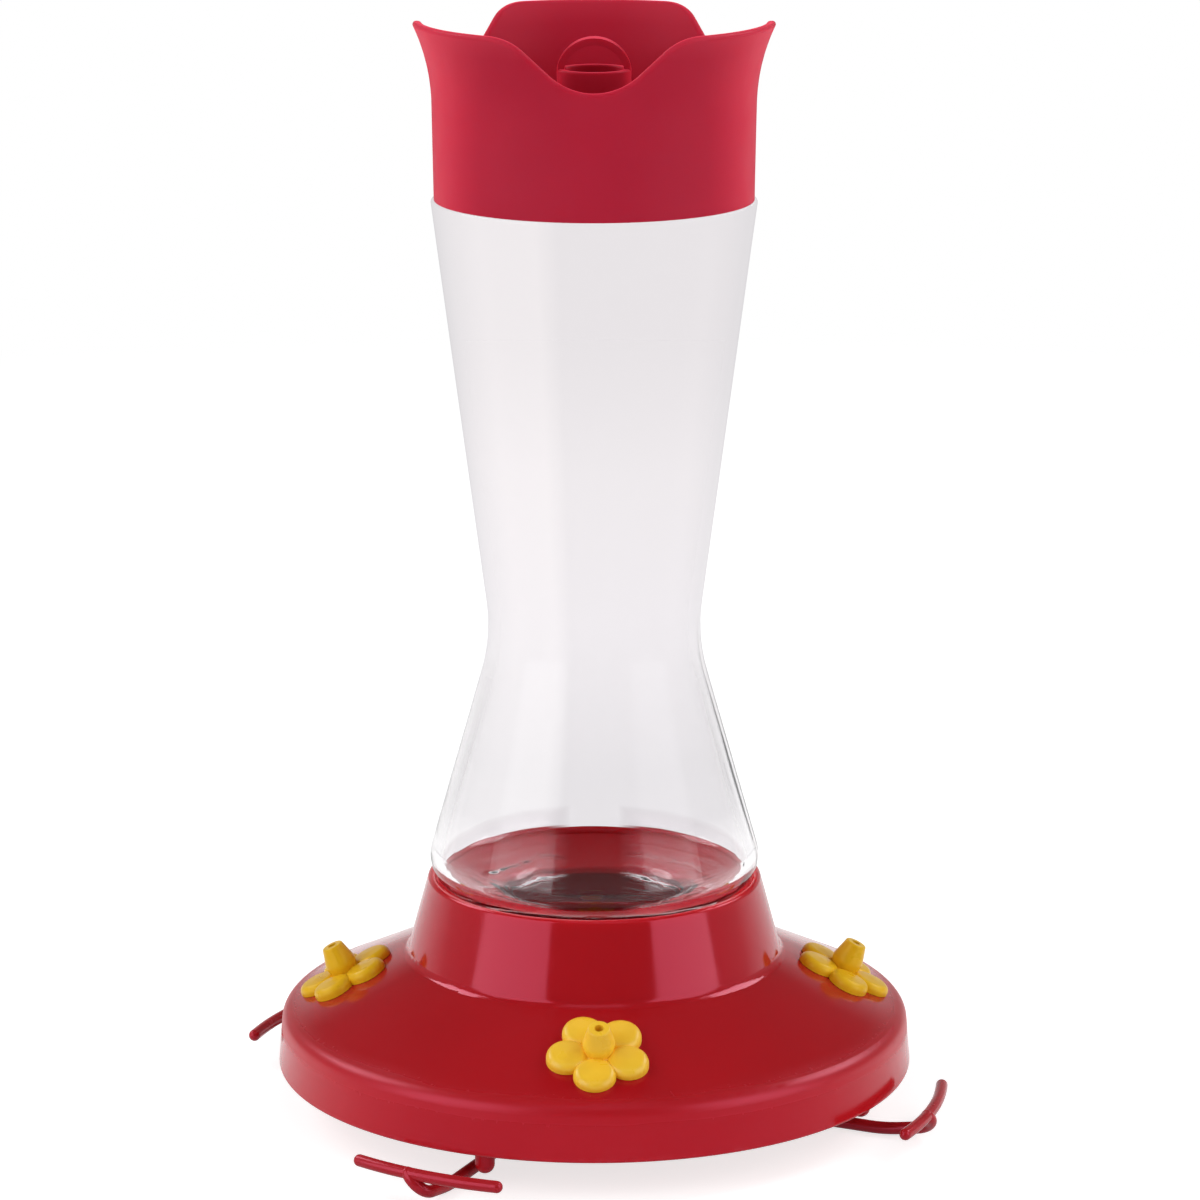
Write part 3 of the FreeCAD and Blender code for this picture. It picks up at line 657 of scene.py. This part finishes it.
# %% Put the finishes on the pieces
FINISH_OF = {
    "cap": cap_finish,
    "glass_bottle": glass_finish,
    "base_cover": cover_finish,
    "nectar_tray": tray_finish,
    "flower_left": shaded_side_flower_finish,
    "flower_right": shaded_side_flower_finish,
}


def finish_for(name):
    if name in FINISH_OF:
        return FINISH_OF[name]
    return flower_finish if name.startswith("flower_") else perch_finish


for name, node in nodes.items():
    if not node.material_slots:
        node.data.materials.append(finish_for(name))
    for slot in node.material_slots:
        slot.material = finish_for(name)
    print(name, "wears", finish_for(name).name)

# %% [markdown]
# A product picture like this one is taken on a white sweep. The floor is a plain pale sheet that
# takes the feeder's soft shadow near its foot and fades to pure white further out, so no horizon
# shows. Only its look to the eye, through glass and, behind the feeder, to gloss is lifted to
# white: the light that it throws on the feeder stays that of a plain sheet.

# %% White floor
FLOOR_REACH = 6.0
FADE = (0.30, 0.75)
FLOOR_GREY = 0.62
FLOOR_LIFT = 0.72
BEHIND_FEEDER = (-0.10, 0.02)
GLOSS_SEES = (0.0, 0.7)


def sees_background(finish):
    """1 for rays from the eye or through glass, less for gloss where the sheet lies behind."""
    path = add(finish, "ShaderNodeLightPath").outputs
    behind = ramp(finish, split_place(finish)["Y"], BEHIND_FEEDER, GLOSS_SEES)
    gloss = combine(finish, "MULTIPLY", path["Is Glossy Ray"], behind)
    seen = combine(finish, "MAXIMUM", path["Is Camera Ray"], gloss)
    return combine(finish, "MAXIMUM", seen, path["Is Transmission Ray"])


def lifted_sheet(finish, sheet):
    """The sheet lifted to white, and pure white far from the feeder."""
    lift = add(finish, "ShaderNodeEmission", Strength=FLOOR_LIFT)
    lifted = add(finish, "ShaderNodeAddShader")
    join(finish, sheet, lifted.inputs[0])
    join(finish, lift.outputs["Emission"], lifted.inputs[1])
    white = add(finish, "ShaderNodeEmission", Strength=1.0)
    distance = add(finish, "ShaderNodeVectorMath", {"operation": "LENGTH"})
    join(finish, place(finish), distance.inputs[0])
    far = ramp(finish, distance.outputs["Value"], FADE)
    return mix_shaders(finish, far, lifted.outputs["Shader"], white.outputs["Emission"])


def white_floor_finish(name):
    finish = new_finish(name)
    grey = (FLOOR_GREY, FLOOR_GREY, FLOOR_GREY, 1.0)
    sheet = add(finish, "ShaderNodeBsdfDiffuse", Color=grey).outputs["BSDF"]
    seen = lifted_sheet(finish, sheet)
    return close_finish(finish, mix_shaders(finish, sees_background(finish), sheet, seen))


bpy.ops.mesh.primitive_plane_add(size=2 * FLOOR_REACH, location=(0, 0, 0))
floor = bpy.context.object
floor.name = "white_floor"
floor.data.materials.append(white_floor_finish("white floor"))
print("Floor reaches", FLOOR_REACH, "m")

# %% [markdown]
# Round the floor stands the room. To the eye and through the glass it is white. For gloss and for
# soft light it is pale paper behind the feeder, so the edges of the neck and the skirt pick up a
# pale rim, and it is a little darker at the sides. Behind the camera it is dim, and that dim
# stripe is what shows in the middle of the neck and the deck, between the reflections of the
# two lamps.

# %% The room
ROOM_DIM = 0.12
ROOM_SIDE = 0.48
ROOM_PAPER = 0.62
PAPER_TOP = math.radians(20)
PAPER_TOP_FADE = 0.10
PAPER_SIDE = math.radians(32)
PAPER_SIDE_OUTER = 0.30
PAPER_SIDE_INNER = 0.25
SIDE_START = math.radians(35)
SIDE_FULL = math.radians(75)
PAPER_ACROSS = (math.cos(PAPER_SIDE + PAPER_SIDE_OUTER), math.cos(PAPER_SIDE - PAPER_SIDE_INNER))
PAPER_UPWARDS = (math.sin(PAPER_TOP + PAPER_TOP_FADE), math.sin(PAPER_TOP - PAPER_TOP_FADE))
SIDES_ACROSS = (math.sin(SIDE_START), math.sin(SIDE_FULL))


def room_level(room):
    """How bright the room is in each direction, apart from what the eye sees."""
    direction = add(room, "ShaderNodeSeparateXYZ")
    join(room, add(room, "ShaderNodeTexCoord").outputs["Generated"], direction.inputs["Vector"])
    behind = ramp(room, direction.outputs["Y"], PAPER_ACROSS)
    low_down = ramp(room, direction.outputs["Z"], PAPER_UPWARDS)
    paper = combine(room, "MULTIPLY", behind, low_down)
    to_side = combine(room, "ABSOLUTE", direction.outputs["X"])
    sides = ramp(room, to_side, SIDES_ACROSS, (ROOM_DIM, ROOM_SIDE))
    return combine(room, "MAXIMUM", sides, ramp(room, paper, WHOLE, (ROOM_DIM, ROOM_PAPER)))


room = bpy.data.worlds.new("studio room")
bpy.context.scene.world = room
room.use_nodes = True
room.node_tree.nodes.clear()
rays = add(room, "ShaderNodeLightPath").outputs
open_view = combine(room, "MAXIMUM", rays["Is Camera Ray"], rays["Is Transmission Ray"])
walls = add(room, "ShaderNodeBackground", Color=(1.0, 1.0, 1.0, 1.0))
join(room, combine(room, "MAXIMUM", open_view, room_level(room)), walls.inputs["Strength"])
join(room, walls.outputs["Background"], add(room, "ShaderNodeOutputWorld").inputs["Surface"])
print("Room level is", ROOM_DIM, "with sides at", ROOM_SIDE, "and the paper behind at", ROOM_PAPER)

# %% [markdown]
# Two tall soft boxes stand left and right of the camera. In a glossy round form such a lamp
# shows as an upright panel with a sharp edge, so the angle of its near edge sets where the
# panel begins: the mirror doubles the angle of the surface. They are large and close, and their
# light is plain and even. Two smaller boxes stand high behind the feeder at its sides and light
# the edges, and a weak one above the camera looks at the deck and fills the front flower.

# %% Soft boxes
BOX_DISTANCE = 1.05
BOX_HEIGHT = 1.30
BOX_CENTRE_Z = 0.52
BOX_RADIANCE = 2.1
BACK_HEIGHT = 0.60
BACK_CENTRE_Z = 0.95
BACK_RADIANCE = 4.5
AIM_Z = 0.52
TOP_SIZE = 0.60
TOP_PLACE = (0.0, -0.55, 1.15)
TOP_AIM = (0.0, 0.0, 0.05)
TOP_RADIANCE = 0.6


def hang_lamp(name, width, height, radiance, spot, aim):
    """A flat lamp that looks from its spot to its aim, as bright per area as asked."""
    lamp = bpy.data.lights.new(name, "AREA")
    lamp.shape = "RECTANGLE"
    lamp.size = width
    lamp.size_y = height
    lamp.energy = radiance * math.pi * width * height
    holder = bpy.data.objects.new(name, lamp)
    bpy.context.collection.objects.link(holder)
    holder.location = spot
    holder.rotation_euler = (Vector(aim) - holder.location).to_track_quat("-Z", "Y").to_euler()
    print(name, "is", round(width, 2), "by", round(height, 2), "m")


def soft_box(name, near_angle, far_angle, radiance, height=BOX_HEIGHT, centre_z=BOX_CENTRE_Z):
    """A lamp that fills the angles from the camera's side, in degrees, positive to the right."""
    middle = math.radians((near_angle + far_angle) / 2)
    width = 2 * BOX_DISTANCE * math.tan(math.radians(abs(far_angle - near_angle) / 2))
    spot = (BOX_DISTANCE * math.sin(middle), -BOX_DISTANCE * math.cos(middle), centre_z)
    hang_lamp(name, width, height, radiance, spot, (0.0, 0.0, min(centre_z, AIM_Z)))


soft_box("left soft box", -29, -78, BOX_RADIANCE)
soft_box("right soft box", 38, 80, BOX_RADIANCE)
soft_box("left back box", -100, -132, BACK_RADIANCE, BACK_HEIGHT, BACK_CENTRE_Z)
soft_box("right back box", 100, 132, BACK_RADIANCE, BACK_HEIGHT, BACK_CENTRE_Z)
hang_lamp("top box", TOP_SIZE, TOP_SIZE, TOP_RADIANCE, TOP_PLACE, TOP_AIM)

# %% [markdown]
# The camera looks a little down on the feeder from the front, through a long lens. Its place
# comes from the perspective of the picture: how much the round edges open from the cap down to
# the skirt gives the height, and how fast their widths shrink gives the distance.

# %% Camera
CAMERA_PLACE = (0.0010, -0.8100, 0.2859)
LOOK_DOWN = math.radians(13.52)
LENS = 142.43
SENSOR_WIDTH = 36.0
FARTHEST_SEEN = 50.0

camera_data = bpy.data.cameras.new("camera")
camera_data.lens = LENS
camera_data.sensor_width = SENSOR_WIDTH
camera_data.clip_end = FARTHEST_SEEN
camera = bpy.data.objects.new("camera", camera_data)
bpy.context.collection.objects.link(camera)
camera.location = CAMERA_PLACE
camera.rotation_euler = (math.radians(90) - LOOK_DOWN, 0, 0)
bpy.context.scene.camera = camera
bpy.context.scene.view_settings.view_transform = "Standard"
print("Camera looks down", round(math.degrees(LOOK_DOWN), 2), "degrees")
